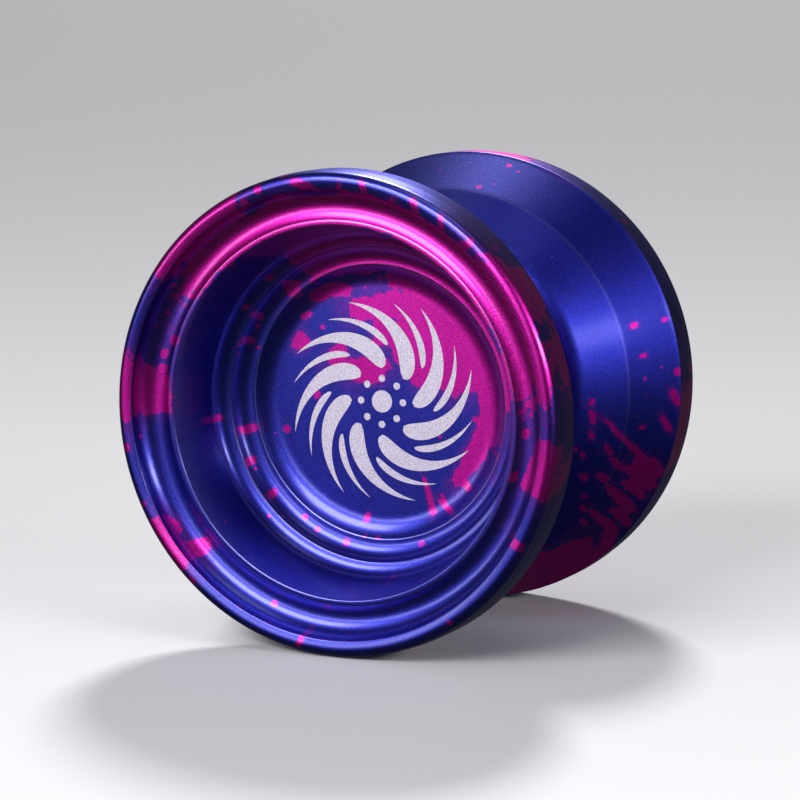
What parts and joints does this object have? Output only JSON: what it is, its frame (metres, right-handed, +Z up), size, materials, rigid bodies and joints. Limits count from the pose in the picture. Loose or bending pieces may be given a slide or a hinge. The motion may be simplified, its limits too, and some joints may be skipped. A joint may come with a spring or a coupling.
{
  "type": "yo-yo",
  "caption": "Two deep-cupped turned aluminium halves joined by a threaded axle, with a caged ball bearing and soft response pads in the narrow string gap between them.",
  "frame": {"origin": "on the surface the yo-yo stands on, under the middle of its width and under its spin axis, at the lowest line of both rims", "axes": "+Z up, Y along the spin axis with the front half towards -Y and the rear half towards +Y, +X to the right seen from the front"},
  "size_m": [0.0554, 0.0444, 0.0554],
  "materials": {
    "anodised_aluminium": "bead-blasted and anodised deep blue with a magenta splash",
    "bearing_steel": "ground steel",
    "ball_steel": "polished steel",
    "axle_steel": "black oxide",
    "silicone": "matte silicone"
  },
  "bodies": {
    "rear_half_body": {"rear_half": "anodised_aluminium", "axle": "axle_steel", "response_pad_rear": "silicone"},
    "inner_race_body": {"bearing_inner_race": "bearing_steel"},
    "front_half_body": {"front_half": "anodised_aluminium", "response_pad_front": "silicone"},
    "outer_race_body": {"bearing_outer_race": "bearing_steel", "bearing_shield_front": "bearing_steel", "bearing_shield_rear": "bearing_steel", "bearing_snap_ring_front": "bearing_steel", "bearing_snap_ring_rear": "bearing_steel"},
    "cage_body": {"bearing_cage": "bearing_steel"},
    "ball_01_body": {"bearing_ball_01": "ball_steel"},
    "ball_02_body": {"bearing_ball_02": "ball_steel"},
    "ball_03_body": {"bearing_ball_03": "ball_steel"},
    "ball_04_body": {"bearing_ball_04": "ball_steel"},
    "ball_05_body": {"bearing_ball_05": "ball_steel"},
    "ball_06_body": {"bearing_ball_06": "ball_steel"},
    "ball_07_body": {"bearing_ball_07": "ball_steel"},
    "ball_08_body": {"bearing_ball_08": "ball_steel"},
    "ball_09_body": {"bearing_ball_09": "ball_steel"},
    "ball_10_body": {"bearing_ball_10": "ball_steel"}
  },
  "joints": [
    {"name": "front_half_travel", "type": "slide", "parent": "rear_half_body", "child": "inner_race_body", "axis": [0, -1, 0], "range_m": [0, 0.0056]},
    {"name": "front_half_unscrew", "type": "hinge", "parent": "inner_race_body", "child": "front_half_body", "pos_m": [0, -0.012, 0.02769], "axis": [0, -1, 0], "range_deg": [0, 2880]},
    {"name": "outer_race_spin", "type": "hinge", "parent": "inner_race_body", "child": "outer_race_body", "pos_m": [0, 0, 0.02769], "axis": [0, -1, 0], "continuous": true},
    {"name": "cage_spin", "type": "hinge", "parent": "inner_race_body", "child": "cage_body", "pos_m": [0, 0, 0.02769], "axis": [0, -1, 0], "continuous": true},
    {"name": "ball_01_spin", "type": "hinge", "parent": "cage_body", "child": "ball_01_body", "pos_m": [0.00476, 0, 0.02769], "axis": [0, -1, 0], "continuous": true},
    {"name": "ball_02_spin", "type": "hinge", "parent": "cage_body", "child": "ball_02_body", "pos_m": [0.00385, 0, 0.03049], "axis": [0, -1, 0], "continuous": true},
    {"name": "ball_03_spin", "type": "hinge", "parent": "cage_body", "child": "ball_03_body", "pos_m": [0.00147, 0, 0.03222], "axis": [0, -1, 0], "continuous": true},
    {"name": "ball_04_spin", "type": "hinge", "parent": "cage_body", "child": "ball_04_body", "pos_m": [-0.00147, 0, 0.03222], "axis": [0, -1, 0], "continuous": true},
    {"name": "ball_05_spin", "type": "hinge", "parent": "cage_body", "child": "ball_05_body", "pos_m": [-0.00385, 0, 0.03049], "axis": [0, -1, 0], "continuous": true},
    {"name": "ball_06_spin", "type": "hinge", "parent": "cage_body", "child": "ball_06_body", "pos_m": [-0.00476, 0, 0.02769], "axis": [0, -1, 0], "continuous": true},
    {"name": "ball_07_spin", "type": "hinge", "parent": "cage_body", "child": "ball_07_body", "pos_m": [-0.00385, 0, 0.02489], "axis": [0, -1, 0], "continuous": true},
    {"name": "ball_08_spin", "type": "hinge", "parent": "cage_body", "child": "ball_08_body", "pos_m": [-0.00147, 0, 0.02316], "axis": [0, -1, 0], "continuous": true},
    {"name": "ball_09_spin", "type": "hinge", "parent": "cage_body", "child": "ball_09_body", "pos_m": [0.00147, 0, 0.02316], "axis": [0, -1, 0], "continuous": true},
    {"name": "ball_10_spin", "type": "hinge", "parent": "cage_body", "child": "ball_10_body", "pos_m": [0.00385, 0, 0.02489], "axis": [0, -1, 0], "continuous": true}
  ],
  "couplings": [
    {"joint": "front_half_unscrew", "follows": "front_half_travel", "rad_per_m": 8976},
    {"joint": "cage_spin", "follows": "outer_race_spin", "ratio": 0.58333},
    {"joint": "ball_01_spin", "follows": "outer_race_spin", "ratio": 2.9167},
    {"joint": "ball_02_spin", "follows": "outer_race_spin", "ratio": 2.9167},
    {"joint": "ball_03_spin", "follows": "outer_race_spin", "ratio": 2.9167},
    {"joint": "ball_04_spin", "follows": "outer_race_spin", "ratio": 2.9167},
    {"joint": "ball_05_spin", "follows": "outer_race_spin", "ratio": 2.9167},
    {"joint": "ball_06_spin", "follows": "outer_race_spin", "ratio": 2.9167},
    {"joint": "ball_07_spin", "follows": "outer_race_spin", "ratio": 2.9167},
    {"joint": "ball_08_spin", "follows": "outer_race_spin", "ratio": 2.9167},
    {"joint": "ball_09_spin", "follows": "outer_race_spin", "ratio": 2.9167},
    {"joint": "ball_10_spin", "follows": "outer_race_spin", "ratio": 2.9167}
  ]
}
